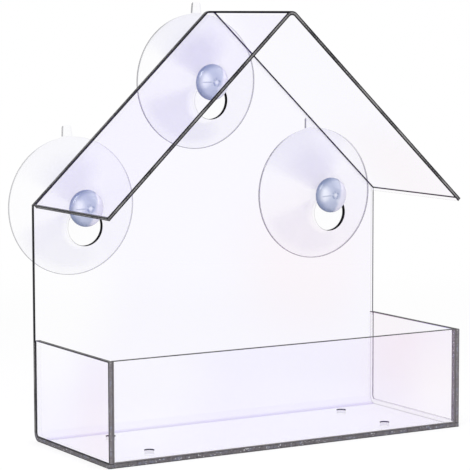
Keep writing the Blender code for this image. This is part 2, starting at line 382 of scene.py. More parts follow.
class Graph:
    """The node tree of a material or of the world, built by arithmetic on wires and by node()."""

    def __init__(self, owner):
        self.owner = owner
        owner.use_nodes = True
        self.tree = owner.node_tree
        self.tree.nodes.clear()

    def node(self, kind, settings=None, inputs=None):
        """Adds one node: its settings first, then the values or links of its sockets."""
        made = self.tree.nodes.new(kind)
        for name, value in (settings or {}).items():
            setattr(made, name, value)
        for key, value in (inputs or {}).items():
            socket = made.inputs[key]
            if isinstance(value, Wire):
                self.tree.links.new(value.socket, socket)
            elif socket.type == "RGBA":
                socket.default_value = (*value, 1.0)
            else:
                socket.default_value = value
        return made

    def wire(self, kind, output, settings=None, inputs=None):
        """Adds one node and returns one of its outputs."""
        return Wire(self, self.node(kind, settings, inputs).outputs[output])

    def mix(self, factor, first, second):
        """A colour that runs from first to second."""
        settings = {"data_type": "RGBA", "clamp_factor": True}
        return self.wire("ShaderNodeMix", 2, settings, {0: factor, 6: first, 7: second})

    def blend(self, factor, first, second):
        """A shader that runs from first to second."""
        return self.wire("ShaderNodeMixShader", 0, {}, {0: factor, 1: first, 2: second})

    def vector(self, operation, *values, output=0):
        """One Vector Math node, fed by wires, vectors and numbers."""
        return self.wire("ShaderNodeVectorMath", output, {"operation": operation}, dict(enumerate(values)))

    def scaled(self, vector, factors):
        """A vector with each of its numbers scaled."""
        return self.vector("MULTIPLY", vector, factors)

    def distance(self, vector, point):
        """How far a vector is from a point given by two or three numbers."""
        return self.vector("DISTANCE", vector, (*point, 0.0)[:3], output="Value")

    def place(self, name):
        """A stored place as a vector wire."""
        return self.wire("ShaderNodeAttribute", "Vector", {"attribute_name": name})

    def split(self, vector):
        """A vector's three numbers."""
        node = self.node("ShaderNodeSeparateXYZ", {}, {0: vector})
        return [Wire(self, socket) for socket in node.outputs]

    def noise(self, vector, scale, detail=2.0, roughness=0.5):
        """Soft noise from 0 to 1 about one half."""
        inputs = {"Vector": vector, "Scale": scale, "Detail": detail, "Roughness": roughness}
        return self.wire("ShaderNodeTexNoise", "Fac", {}, inputs)

    def bump(self, height, strength, distance):
        """A surface direction that follows a height, which stands distance high at 1."""
        inputs = {"Height": height, "Strength": strength, "Distance": distance}
        return self.wire("ShaderNodeBump", "Normal", {}, inputs)

    def background_rays(self):
        """1 for the rays that find a white background: those of the camera, of gloss and of glass."""
        path = self.node("ShaderNodeLightPath")
        camera, gloss, glass = [
            Wire(self, path.outputs[f"Is {kind} Ray"]) for kind in ("Camera", "Glossy", "Transmission")
        ]
        return camera.most(gloss).most(glass)

    def finish(self, **inputs):
        """Ends the graph in a Principled shader with these inputs, and returns the material."""
        named = {key.replace("_", " ").title().replace("Ior", "IOR"): value for key, value in inputs.items()}
        shader = self.wire("ShaderNodeBsdfPrincipled", "BSDF", {}, named)
        self.node("ShaderNodeOutputMaterial", {}, {"Surface": shader})
        return self.owner


class SheetGraph(Graph):
    """The graph of one of a sheet's finishes, which knows each point's place in the flat sheet."""

    def __init__(self, name):
        super().__init__(bpy.data.materials.new(name))
        self.spot = self.place(SHEET_PLACE)
        self.parts = self.split(self.spot)
        self.across = self.parts[2]
        self.flat = self.scaled(self.spot, (1.0, 1.0, 0.0))
        self.facing = self.wire("ShaderNodeLayerWeight", "Facing", {}, {"Blend": 0.35})
        self.behind = self.wire("ShaderNodeNewGeometry", "Backfacing")

    def tint(self, tones, pale_at, rosy_at):
        """The sheet's faint tint and how much it covers.

        The tint is cool, with a pale and a rosy area about two places of the flat sheet.
        """
        patches = self.noise(self.flat, 0.02, 1.0)
        pale = self.distance(self.flat, pale_at).fall(*PALE_REACH)
        rosy = self.distance(self.flat, rosy_at).fall(*ROSY_REACH)
        tint = self.mix(rosy * 0.9 + (patches - 0.5) * 0.5, tones.cool_tint, tones.warm_tint)
        cover = tones.sheet_cover * (0.8 + 0.4 * patches + 0.6 * rosy) * (1.0 - 0.9 * pale)
        return tint, cover + 0.022 * self.facing.rise(0.6, 1.0)

    def shown(self, inside):
        """1 from outside the sheet, and what inside says from inside it."""
        return 1.0 - self.behind * (1.0 - inside)

    def edge(self, shade, inside, lines, normal):
        """Ends the graph as a cut edge. inside says how much of it shows from inside the sheet."""
        return self.finish(
            base_color=shade, alpha=self.shown(inside), roughness=0.25 + 0.3 * lines,
            specular_ior_level=0.04, normal=normal,
        )


def acrylic_face(name, tones, spots, painted_edge_reflection):
    """The sheet's polished face.

    The last argument gives an axis of the flat sheet, the place in millimetres beyond which the outer face
    shows a painted reflection of the dark cut edge beside it, and how much of that the inner face shows.
    """
    graph = SheetGraph(name)
    tint, cover = graph.tint(tones, *spots)
    if painted_edge_reflection:
        axis, start, inside = painted_edge_reflection
        # Painted reflection: the dark image of the cut edge that the sheet reflects inside itself
        line = abs(graph.parts[axis]).rise(start, start + EDGE_REFLECTION_BLUR)
        line = line * (inside + (1.0 - inside) * graph.across.rise(0.0, 0.5))
        tint = graph.mix(line, tint, tones.edge_black)
        cover = cover.most(line * 0.97)
    polish = graph.noise(graph.spot, 0.35, 3.0)
    return graph.finish(
        base_color=tint, alpha=cover, roughness=0.03 + 0.04 * polish, ior=ACRYLIC_IOR, specular_ior_level=0.5
    )


def bend_line(name, tones, spots, middle, half, strength, along):
    """The outside of a bend, with a painted dark line for the light that the bend turns away, darkest at
    a flat angle.

    middle and half say where the line is in the flat sheet and half of its width, in millimetres,
    strength is how dark it is, and along is the axis that it crosses.
    """
    graph = SheetGraph(name)
    tint, cover = graph.tint(tones, *spots)
    # Painted shade: a dark line along the bend, stronger at a flat angle
    line = graph.parts[along].near(middle, half * 0.92, half) * graph.across.rise(0.2, 0.9)
    shown = line * (strength * (0.2 + 0.8 * graph.facing.rise(0.15, 0.42)))
    shade = graph.mix(shown * 1.6, tint, tones.edge_black)
    return graph.finish(base_color=shade, alpha=cover.most(shown), roughness=0.2, specular_ior_level=0.0)


def cut_edge(name, tones, lines_inside, black_span):
    """A cut edge: dark borders, a grey middle, and fine lines that cross the thickness. The borders and the
    grey middle are painted shade, the dark that a clear cut edge shows; the fine lines are the cut's own
    marks.

    From inside the sheet it is clear but for its two corners, as the painted shade shows from outside:
    lines_inside says how dark the inner and the outer one look. Between the two places of black_span it
    is painted black all over, and broader inside.
    """
    graph = SheetGraph(name)
    across, height = graph.across, graph.parts[1]
    lines = graph.noise(graph.flat, 2.6, 2.0, 0.6)
    drift = graph.noise(graph.flat, 0.09)
    border = abs(across + (drift - 0.5) * 0.3).rise(0.26, 0.54)
    inner, outer = lines_inside
    corner = (-across).rise(0.6, 0.8) * inner + across.rise(0.6, 0.8) * outer
    if black_span:
        low, high = black_span
        black = height.rise(low, low + BLACK_FADE) * height.fall(high - BLACK_FADE, high)
        border = border.most(black)
        corner = corner.most(black * (-across).rise(0.15, 0.3) * inner)
    middle = graph.mix((lines * 0.6 + drift * 0.4).rise(0.42, 0.6), tones.edge_core, tones.edge_streak)
    # Painted shade: the dark borders and the grey middle stand for the dark of a clear cut edge
    shade = graph.mix(border, middle, tones.edge_black)
    return graph.edge(shade, corner, lines, graph.bump(lines, 0.25, LINE_RELIEF))


def tray_edge(name, tones, through, deeper):
    """A cut edge of the tray, mottled by cement: thin dark borders of painted shade round a mauve and bluish
    middle.

    through is how much of it shows from inside the sheet, and deeper is how much its middle darkens.
    """
    graph = SheetGraph(name)
    lines = graph.noise(graph.flat, 2.2, 2.0, 0.6)
    mottle = graph.noise(graph.scaled(graph.spot, (0.5, 0.5, 1.2)), 0.9, 3.0, 0.6)
    flecks = graph.noise(graph.scaled(graph.spot, (1.0, 1.0, 1.4)), 1.9, 0.0).rise(0.74, 0.78)
    middle = graph.mix(lines.rise(0.48, 0.68) * 0.8, tones.tray_core, tones.tray_streak)
    middle = graph.mix(mottle.rise(0.5, 0.68) * 0.8, middle, tones.tray_blue)
    middle = graph.mix(deeper * (0.6 + 0.8 * lines), middle, tones.edge_streak)
    middle = graph.mix(flecks * 0.7, middle, FLECK)
    wavy = graph.across + (mottle - 0.5) * 0.3
    # Painted shade: the thin dark borders of a clear edge
    border = wavy.rise(0.6, 0.82) + 0.8 * (-wavy).rise(0.6, 0.82)
    corner = (abs(graph.across).rise(0.74, 0.92) * 0.3).most(through * (0.8 + 0.4 * mottle))
    shade = graph.mix(border, middle, tones.edge_streak)
    return graph.edge(shade, corner, lines, graph.bump(mottle, 0.3, MOTTLE_RELIEF))


def hole_wall(name, tones):
    """The wall of a cut hole, painted black from outside the sheet as painted shade, the dark that the clear
    wall shows, and clear from inside it.

    In the floor, where the flat sheet's second place is below zero, only its upper part is painted black.
    """
    graph = SheetGraph(name)
    lines = graph.noise(graph.flat, 2.2)
    corner = abs(graph.across).rise(0.8, 0.95) * 0.1
    clear = graph.parts[1].fall(-1.0, 0.0) * graph.across.rise(-0.7, -0.3) * 0.85
    # Painted shade: the wall's black, with faint streaks of the cut in it
    return graph.finish(
        base_color=graph.mix(lines.rise(0.5, 0.9) * 0.4, tones.edge_black, HOLE_STREAK),
        alpha=graph.shown(corner).least(1.0 - clear),
        roughness=0.25 + 0.2 * lines,
        specular_ior_level=0.0,
    )


def cement(name, tones, weld_line, line_shade, line_inside):
    """Solvent cement and the faces it wets: clear, a little cloudy, with small bubbles.

    Beyond weld_line, which is a share of the sheet's half thickness, it shows as a dark line.
    line_inside is how much of the line is left on faces that are seen from behind.
    """
    graph = SheetGraph(name)
    cloud = graph.noise(graph.spot, 0.55, 3.0, 0.6)
    bubbles = graph.noise(graph.spot, 2.3, 0.0).rise(0.74, 0.79)
    line = graph.across.rise(weld_line, weld_line + 0.12) * graph.shown(line_inside)
    return graph.finish(
        base_color=graph.mix(line, graph.mix(bubbles, tones.cement, BUBBLE), line_shade),
        alpha=(0.01 + 0.03 * cloud + 0.2 * bubbles).most(line),
        roughness=0.18 + 0.2 * cloud,
        specular_ior_level=0.1,
        normal=graph.bump(cloud, 0.4, CLOUD_RELIEF),
    )


class CupGraph(Graph):
    """The graph of a cup's vinyl, which knows each point's place round the cup's axis in millimetres."""

    def __init__(self, name):
        super().__init__(bpy.data.materials.new(name))
        self.spot = self.place(CUP_PLACE)
        self.side, self.depth, self.up = self.split(self.spot)
        self.flat = self.scaled(self.spot, (1.0, 0.0, 1.0))
        self.radius = self.distance(self.flat, (0.0, 0.0))
        self.right = self.side / self.radius.most(0.01)
        self.above = self.up / self.radius.most(0.01)
        direction = self.vector("NORMALIZE", self.flat)
        # Soft rays round the axis, which paint the lamps' sheen on the film and on the head
        self.rays = self.noise(direction, 2.4)
        self.fine_rays = self.noise(direction, 11.0)

    def towards(self, degrees):
        """How near a point's direction is to one that is measured clockwise from the top, up to 1."""
        turn = math.radians(degrees)
        return self.above * math.cos(turn) + self.right * math.sin(turn)

    def film_depth(self, rim_radius, fans):
        """How deep the film's tint is: two fans of rays and a clear wedge, which paint the lamps' sheen on
        the turned film, and a clear spot below the head.
        """
        radius = self.radius
        upper_depth, fade, lower_depth = fans
        # Painted sheen: the film is clearer outside the fans and in the wedge
        upper = self.towards(UPPER_FAN).rise(0.35, 1.0) * (1.0 - fade * radius.rise(*UPPER_FAN_FADE))
        lower = self.towards(LOWER_FAN).rise(0.3, 0.95) * (0.6 - 0.36 * radius.rise(*LOWER_FAN_FADE))
        inner = radius.fall(*INNER_FADE) * 0.85
        film = inner.most(upper * upper_depth).most(lower * lower_depth).most(0.2)
        film = film + (self.rays - 0.5) * 0.25
        film = film * (1.0 - 0.85 * self.towards(SHEEN_WEDGE).rise(0.86, 0.97))
        film = film * self.distance(self.flat, CLEAR_SPOT).rise(*CLEAR_SPOT_EDGE)
        return (film * (1.0 - 0.8 * radius.rise(rim_radius, rim_radius + 0.5))).most(0.0)

    def rim_line(self, cup, rim_radius, rim_cover):
        """The dark line of the rim, which fades towards the tab, and of the tab's left side: painted shade,
        the grey that the clear rim and tab show edge on, darker at the left and fainter at the upper right.
        """
        right, above, side, up = self.right, self.above, self.side, self.up
        lean = math.tan(cup.tab_taper)
        tab_half = (cup.tab_width / 2 - cup.tab_root * lean) / MM
        leaning = (up - rim_radius) * lean
        on_tab = up.rise(rim_radius + 0.1, rim_radius + 0.4)
        # Painted shade on the tab's left edge, and faintly on its right one
        tab_line = (leaning - side).rise(tab_half - 0.45, tab_half - 0.3)
        tab_line = tab_line + 0.15 * (leaning + side).rise(tab_half - 0.4, tab_half - 0.2)
        rim = self.radius.rise(rim_radius - 0.1 - 0.4 * rim_cover, rim_radius - 0.1)
        rim = rim * abs(side).rise(tab_half - 0.4, tab_half).most(up.fall(0.0, 1.0))
        # Painted shade: darker at the left, fainter at the top and at the upper right
        rim = rim * (0.85 + 0.15 * (-right).rise(0.0, 0.8)) * (1.0 - 0.9 * above.rise(0.72, 1.05))
        rim = rim * (1.0 - 0.4 * right.rise(0.2, 0.6) * above.rise(0.2, 0.6))
        return rim_cover * (rim * (1.0 - on_tab) + tab_line * on_tab)

    def head_shade(self, tones, head_radius):
        """The mushroom head's colour, with its places as shares of the head's radius.

        Most of it is painted light and shade: a painted dark border at the upper left, painted highlights at
        the left, below and in the middle of the gate, a painted pale far side and a thin dark dash of painted
        reflection. The ring of the gate mark is the moulding's own.
        """
        spot = self.scaled(self.flat, (1.0 / head_radius,) * 3)
        side, up = self.side / head_radius, self.up / head_radius
        # Painted shade: a dark border, strongest at the upper left, with a dark edge to the painted pale side
        border = (self.radius / head_radius).rise(0.66, 1.03)
        border = border * self.right.fall(-0.3, 0.5) * (0.8 + 0.06 * self.above)
        over = up - 0.5
        beyond = side + over * over * 0.25
        border = border + 0.3 * beyond.near(0.5, 0.03, 0.1) * up.rise(0.1, 0.5)
        gate = self.distance(spot, GATE_PLACE_SHARES)
        # Painted highlights at the left, below and in the middle of the gate, with soft rays
        painted_glint = self.distance(spot, LEFT_HIGHLIGHT_SHARES).fall(0.2, 0.646)
        painted_glint = painted_glint + 0.6 * self.distance(spot, LOWER_HIGHLIGHT_SHARES).fall(0.046, 0.246)
        painted_glint = painted_glint + 0.8 * gate.fall(0.06, 0.15) + (self.fine_rays - 0.5) * 0.5
        mark = gate.near(0.185, 0.03, 0.085) * self.noise(self.flat, 1.3).rise(0.42, 0.56)
        # A painted reflection: a thin dark dash left of the middle
        reflected_dash = up.near(0.015, 0.015, 0.054) * side.near(-0.477, 0.185, 0.338)
        shade = self.mix(painted_glint, tones.head_middle, tones.head_light)
        # Painted light: the pale far side
        shade = self.mix(beyond.rise(0.38, 0.64), shade, tones.head_pale)
        return self.mix((border + mark * 0.6 + reflected_dash * 0.5).least(1.0), shade, tones.head_dark)


def soft_vinyl(name, settings, rim_cover, fans):
    """The cup's soft clear vinyl: a film tinted in soft rays, which are clearer where painted sheen stands
    for the lamps, a grey rim of painted shade and a bluish head with painted light and shade.

    rim_cover is how dark the rim's painted shade looks, and fans is how deep the tint of its rays is.
    """
    graph = CupGraph(name)
    cup, tones = settings.cup, settings.colour
    rim_radius = cup.diameter / 2 / MM
    underside = (settings.sheet.panel_sheet + cup.head_gap) / MM
    line = graph.rim_line(cup, rim_radius, rim_cover)
    head = (-graph.depth).rise(underside - 0.2, underside - 0.05)
    neck = graph.radius.fall(*NECK_FADE)
    # The rim's grey line is painted shade
    shade = graph.mix(line * 2.0, tones.vinyl_tint, tones.rim_grey)
    shade = graph.mix(head, shade, graph.head_shade(tones, cup.head / 2 / MM))
    cover = 0.012 + 0.15 * graph.film_depth(rim_radius, fans) + 0.08 * neck
    pores = graph.noise(graph.spot, 0.9)
    return graph.finish(
        base_color=shade, alpha=cover.most(line).most(head * 0.95), roughness=0.14 + 0.12 * pores,
        ior=VINYL_IOR, specular_ior_level=0.5,
    )


def studio_floor(name, tones):
    """A plain pale floor that looks white to the camera and to gloss, and keeps a soft shadow."""
    graph = Graph(bpy.data.materials.new(name))
    ground = graph.wire("ShaderNodeTexCoord", "Object")
    near = graph.distance(ground, (0.0, 0.0)).fall(*SHADOW_REACH)
    pale = graph.mix(graph.noise(ground, 40.0) * 0.06, tones.floor, FLOOR_PATCH)
    settings = {"Base Color": pale, "Roughness": 1.0, "Specular IOR Level": 0.0}
    surface = graph.wire("ShaderNodeBsdfPrincipled", "BSDF", {}, settings)
    white = graph.wire("ShaderNodeEmission", 0, {}, {"Color": WHITE, "Strength": 1.0})
    seen = graph.background_rays() * (1.0 - SHADOW_SHARE * near)
    graph.node("ShaderNodeOutputMaterial", {}, {"Surface": graph.blend(seen, surface, white)})
    return graph.owner


# Shapes


def arc(centre, radius, start, end, steps):
    """Points on an arc about centre, both ends included."""
    turns = [start + (end - start) / steps * i for i in range(steps + 1)]
    return [
        Vector((centre[0] + radius * math.cos(turn), centre[1] + radius * math.sin(turn))) for turn in turns
    ]


def inset(outline, distance):
    """A closed outline moved towards the material on its left, with mitred corners."""
    moved = []
    for before, here, after in zip(outline[-1:] + outline[:-1], outline, outline[1:] + outline[:1]):
        arriving = (here - before).normalized()
        leaving = (after - here).normalized()
        first = Vector((-arriving.y, arriving.x))
        mitre = first + Vector((-leaving.y, leaving.x))
        moved.append(here + mitre * (distance / mitre.dot(first)))
    return moved


def cut_sheet(outlines, thickness, arris, steps=ARRIS_STEPS):
    """A flat sheet in the XY plane with softened arrises, as (bmesh, its place layer).

    outlines holds (points, slot) pairs: the outer one runs anticlockwise and holes run clockwise, so
    that the material is on the left. The place layer keeps each point's place in the flat sheet in
    millimetres, and in its third number how far through the thickness it is, from -1 to 1.
    """
    bm = bmesh.new()
    layer = bm.verts.layers.float_vector.new(SHEET_PLACE)
    half = thickness / 2
    turns = [math.pi / 2 * i / steps for i in range(steps + 1)]
    lower = [(arris * (1 - math.cos(turn)) - half, arris * (1 - math.sin(turn))) for turn in turns]
    levels = lower + [(-height, distance) for height, distance in reversed(lower)]
    caps = [[], []]
    for outline, slot in outlines:
        rings = [
            [bm.verts.new((point.x, point.y, height)) for point in inset(outline, distance)]
            for height, distance in levels
        ]
        for below, above in zip(rings, rings[1:]):
            for i in range(len(outline)):
                face = bm.faces.new((below[i - 1], below[i], above[i], above[i - 1]))
                face.material_index = slot
        for cap, ring in zip(caps, (rings[0], rings[-1])):
            cap += [bm.edges.get((ring[i - 1], ring[i])) for i in range(len(ring))]
    for cap, normal in zip(caps, ((0, 0, -1), (0, 0, 1))):
        bmesh.ops.triangle_fill(bm, use_beauty=True, edges=cap, normal=normal)
    for vert in bm.verts:
        vert[layer] = Vector((vert.co.x / MM, vert.co.y / MM, vert.co.z / half))
    return bm


def crease(bm, axis, start, end, steps):
    """Cuts new edges across the flat sheet, between two places along an axis, where it will bend."""
    normal = Vector((1, 0, 0)) if axis == 0 else Vector((0, 1, 0))
    for i in range(steps + 1):
        place = start + (end - start) * i / steps
        bmesh.ops.bisect_plane(
            bm,
            geom=bm.verts[:] + bm.edges[:] + bm.faces[:],
            dist=CREASE_TOLERANCE,
            plane_co=normal * place,
            plane_no=normal,
        )


def face_outwards(bm, faces):
    """Turns the faces of one closed shell outwards."""
    bmesh.ops.recalc_face_normals(bm, faces=faces)
    volume = sum(face.calc_area() * face.normal.dot(face.calc_center_median()) for face in faces)
    if volume < 0:
        bmesh.ops.reverse_faces(bm, faces=faces)


def place_sheet(bm, rule):
    """Moves every point of the flat sheet to where rule(u, v, w) puts it."""
    for vert in bm.verts:
        vert.co = rule(*vert.co)
    bm.normal_update()
    face_outwards(bm, bm.faces[:])


def give_slot(bm, slot, test):
    """Gives a slot to the cut faces whose middle passes the test."""
    for face in bm.faces:
        if face.material_index == CUT and test(face.calc_center_median()):
            face.material_index = slot


def weld(bm, path, half, gap, settings):
    """Adds the cement of one joint: flush outside, and with a hollow fillet inside.

    path holds (point, inward, out of the carrying face) for each step along the joint. half is half
    of the thickness of the sheet that stands on the joint.
    """
    layer = bm.verts.layers.float_vector[SHEET_PLACE]
    sink = settings.weld_sink
    radius = settings.weld_fillet + gap
    low, high = -gap / 2 - sink, gap / 2 + sink
    fillet = arc((half + radius, low + radius), radius, -math.pi / 2, -math.pi, FILLET_STEPS)
    corners = [(half - sink, high + sink), (half - sink, high), (sink - half, high)]
    profile = [Vector((sink - half, low)), *fillet, *(Vector(corner) for corner in corners)]
    rings = []
    along = 0.0
    before = path[0][0]
    for point, inward, outward in path:
        along += (point - before).length / MM
        before = point
        ring = []
        for across, rise in profile:
            vert = bm.verts.new(point + inward * across + outward * rise)
            vert[layer] = Vector((along, rise / MM, -across / half))
            ring.append(vert)
        rings.append(ring)
    ends = [bm.faces.new(rings[0]), bm.faces.new(reversed(rings[-1]))]
    sides = []
    for near, far in zip(rings, rings[1:]):
        sides += [bm.faces.new((near[i - 1], far[i - 1], far[i], near[i])) for i in range(len(profile))]
    for slot, faces in ((TRAY_CUT, ends), (WELDED, sides)):
        for face in faces:
            face.material_index = slot
            face.normal_update()
    face_outwards(bm, ends + sides)


def add_object(name, data):
    """A new object in the scene."""
    obj = bpy.data.objects.new(name, data)
    bpy.context.scene.collection.objects.link(obj)
    return obj


def add_mesh(name, bm):
    """A new object in the scene with a bmesh's mesh. The bmesh is freed."""
    mesh = bpy.data.meshes.new(name)
    bm.to_mesh(mesh)
    bm.free()
    return add_object(name, mesh)


def add_piece(name, bm, materials, body, node):
    """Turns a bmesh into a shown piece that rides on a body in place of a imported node."""
    for edge in bm.edges:
        same = len({face.material_index for face in edge.link_faces}) == 1
        edge.smooth = same and edge.calc_face_angle(0.0) < SMOOTH_ANGLE
    obj = add_mesh(name, bm)
    obj.data.polygons.foreach_set("use_smooth", [True] * len(obj.data.polygons))
    for material in materials:
        obj.data.materials.append(material)
    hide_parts(node)
    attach(obj, body)


def sheet_materials(
    name, tones, bend=(0.0, 1.0, 0.0, 0), lines_inside=(0.3, 0.3), black_span=None, through=0.0, deeper=0.0,
    weld_line=0.6, weld_shade=None, line_inside=1.0, painted_edge_reflection=None,
):
    """The six finishes of a sheet, in the order of its slots.

    What follows tones goes to the functions of the finishes, which say what each value does. bend holds
    the middle, the half width, the strength and the axis of a bend's painted dark line.
    """
    spots = TINT_SPOTS[name]
    return [
        acrylic_face(f"{name} face", tones, spots, painted_edge_reflection),
        cut_edge(f"{name} cut edge", tones, lines_inside, black_span),
        tray_edge(f"{name} tray edge", tones, through, deeper),
        hole_wall(f"{name} hole wall", tones),
        cement(f"{name} cement", tones, weld_line, weld_shade or tones.edge_black, line_inside),
        bend_line(f"{name} bend", tones, spots, *bend),
    ]


def mark_bend(bm, axis, start, end):
    """Gives the outer faces between two places of the flat sheet the bend's slot."""
    layer = bm.verts.layers.float_vector[SHEET_PLACE]
    for face in bm.faces:
        if face.material_index != FACE:
            continue
        places = [vert[layer] for vert in face.verts]
        middle = sum((place[axis] for place in places), 0.0) / len(places) * MM
        if start < middle < end and min(place.z for place in places) > 0.5:
            face.material_index = BEND


class RoofShape:
    """The roof's section: two slopes that run from the eaves to a round bend at the ridge."""

    def __init__(self, settings):
        self.sheet = settings.roof_sheet
        self.outer = settings.ridge_bend + settings.roof_sheet
        self.middle = settings.ridge_bend + settings.roof_sheet / 2
        self.centre = RIDGE_HEIGHT - self.outer
        rise = self.centre - settings.eave_height
        self.pitch = math.atan2(rise, SIDE_FACE) + math.asin(self.outer / math.hypot(SIDE_FACE, rise))
        self.half_bend = self.middle * self.pitch
        reach = SIDE_FACE - self.outer * math.sin(self.pitch)
        self.half_width = self.half_bend + reach / math.cos(self.pitch)

    def place(self, along, across):
        """(X, Z) of a point of the bent roof: along is measured from the ridge, across is outwards."""
        side = math.copysign(1.0, along)
        turn = min(abs(along) / self.middle, self.pitch)
        radius = self.middle + across
        past = max(abs(along) - self.half_bend, 0.0)
        x = radius * math.sin(turn) + past * math.cos(self.pitch)
        z = self.centre + radius * math.cos(turn) - past * math.sin(self.pitch)
        return side * x, z

    def lines(self, steps):
        """Places along the roof from the left eave to the right one, with the bend in steps."""
        bend = [self.half_bend * (2 * i / steps - 1) for i in range(steps + 1)]
        return [-self.half_width, *bend, self.half_width]

    def gable(self, steps):
        """The outline of the roof's outer face, from the right eave over the ridge to the left eave."""
        return [Vector(self.place(along, self.sheet / 2)) for along in reversed(self.lines(steps))]


def keyhole(x, z, hole):
    """A keyhole's outline, clockwise: a slot whose upper end seats the neck, over a round hole."""
    slot_radius = hole.slot_width / 2
    radius = hole.hole_diameter / 2
    half_mouth = math.asin(slot_radius / radius)
    top = arc((x, z), slot_radius, math.pi, 0.0, HOLE_STEPS // 2)
    low = arc(
        (x, z - hole.slot_travel), radius, math.pi / 2 - half_mouth, half_mouth - 1.5 * math.pi, HOLE_STEPS
    )
    return top + low


def cup_places(cup):
    """Each cup's axis, as (X, Z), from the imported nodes."""
    places = {}
    for side in CUP_BODIES:
        low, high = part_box(f"suction_cup_{side}")
        places[side] = ((low.x + high.x) / 2, low.z + cup.diameter / 2)
    return places


class MakeBackAndFloor(Operator):
    """Makes the gabled back and the tray's floor from one bent sheet"""

    bl_idname = "window_feeder.back_and_floor"
    bl_label = "Back and floor"

    def execute(self, context):
        settings = context.scene.window_feeder
        sheet, hole, tones = settings.sheet, settings.hole, settings.colour
        half = sheet.panel_sheet / 2
        middle = sheet.floor_bend + half
        bend_height = sheet.floor_bend + sheet.panel_sheet
        bend_length = middle * math.pi / 2
        bend_depth = REAR_FACE - bend_height
        front = bend_height - bend_length - (bend_depth - FRONT_FACE)

        front_corners = [Vector((-SIDE_FACE, front)), Vector((SIDE_FACE, front))]
        outlines = [(front_corners + RoofShape(sheet).gable(BEND_STEPS), CUT)]
        outlines += [(keyhole(x, z, hole), HOLE) for x, z in cup_places(settings.cup).values()]
        drain_x = SIDE_FACE - hole.drain_side_inset
        for x in (-drain_x, drain_x):
            for depth in (hole.drain_end_inset, REAR_FACE - hole.drain_end_inset - FRONT_FACE):
                ring = arc((x, front + depth), hole.drain_diameter / 2, 2 * math.pi, 0.0, DRAIN_STEPS)[:-1]
                outlines.append((ring, HOLE))
        bm = cut_sheet(outlines, sheet.panel_sheet, sheet.arris)
        crease(bm, 1, bend_height, bend_height - bend_length, BEND_STEPS)

        def bent(u, v, w):
            """Where a point of the flat sheet goes."""
            if v >= bend_height:
                return Vector((u, REAR_FACE - half + w, v))
            turn = min((bend_height - v) / middle, math.pi / 2)
            past = max(bend_height - v - bend_length, 0.0)
            depth = bend_depth + (middle + w) * math.cos(turn) - past
            return Vector((u, depth, bend_height - (middle + w) * math.sin(turn)))

        place_sheet(bm, bent)
        edge = 2 * sheet.arris
        give_slot(bm, TRAY_CUT, lambda spot: spot.z < bend_height and (
            abs(spot.x) > SIDE_FACE - edge or spot.y < FRONT_FACE + edge))
        mark_bend(bm, 1, bend_height - bend_length, bend_height)
        materials = sheet_materials(
            "back",
            tones,
            bend=((bend_height - bend_length / 2) / MM, bend_length / 2 / MM, 0.25, 1),
            lines_inside=(1.0, 0.2),
            # Painted shade: the side edges are black from just below the tray's top up to the eaves
            black_span=((TRAY_HEIGHT - BLACK_OVERLAP) / MM, sheet.eave_height / MM),
            deeper=0.3,
        )
        add_piece("bent_back_and_floor", bm, materials, "house", "back_and_floor")
        return {"FINISHED"}


class MakeRoof(Operator):
    """Makes the roof from one sheet bent at the ridge, and the cement along its rear edge"""

    bl_idname = "window_feeder.roof"
    bl_label = "Roof"

    def execute(self, context):
        settings = context.scene.window_feeder
        sheet, tones = settings.sheet, settings.colour
        shape = RoofShape(sheet)
        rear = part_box("roof")[1].y
        gap = REAR_FACE - sheet.panel_sheet - rear
        corners = [(-1, FRONT_FACE), (1, FRONT_FACE), (1, rear), (-1, rear)]
        outline = [Vector((side * shape.half_width, depth)) for side, depth in corners]
        bm = cut_sheet([(outline, CUT)], sheet.roof_sheet, sheet.arris)
        crease(bm, 0, -shape.half_bend, shape.half_bend, 2 * BEND_STEPS)

        def bent(u, v, w):
            """Where a point of the flat sheet goes."""
            x, z = shape.place(u, w)
            return Vector((x, v, z))

        place_sheet(bm, bent)
        give_slot(bm, WELDED, lambda spot: spot.y > rear - 2 * sheet.arris)
        path = []
        for along in shape.lines(BEND_STEPS):
            here, below = bent(along, rear + gap / 2, 0.0), bent(along, rear + gap / 2, -sheet.roof_sheet / 2)
            path.append((here, (below - here).normalized(), Vector((0.0, -1.0, 0.0))))
        weld(bm, path, sheet.roof_sheet / 2, gap, sheet)
        mark_bend(bm, 0, -shape.half_bend, shape.half_bend)
        materials = sheet_materials(
            "roof",
            tones,
            bend=(0.0, shape.half_bend / MM, 1.0, 0),
            lines_inside=(0.1, 1.0),
            weld_line=0.3,
            # A painted reflection of the cut edge along the eaves
            painted_edge_reflection=(0, (shape.half_width - EAVE_EDGE_REFLECTION) / MM, 0.0),
        )
        add_piece("bent_roof", bm, materials, "house", "roof")
        return {"FINISHED"}


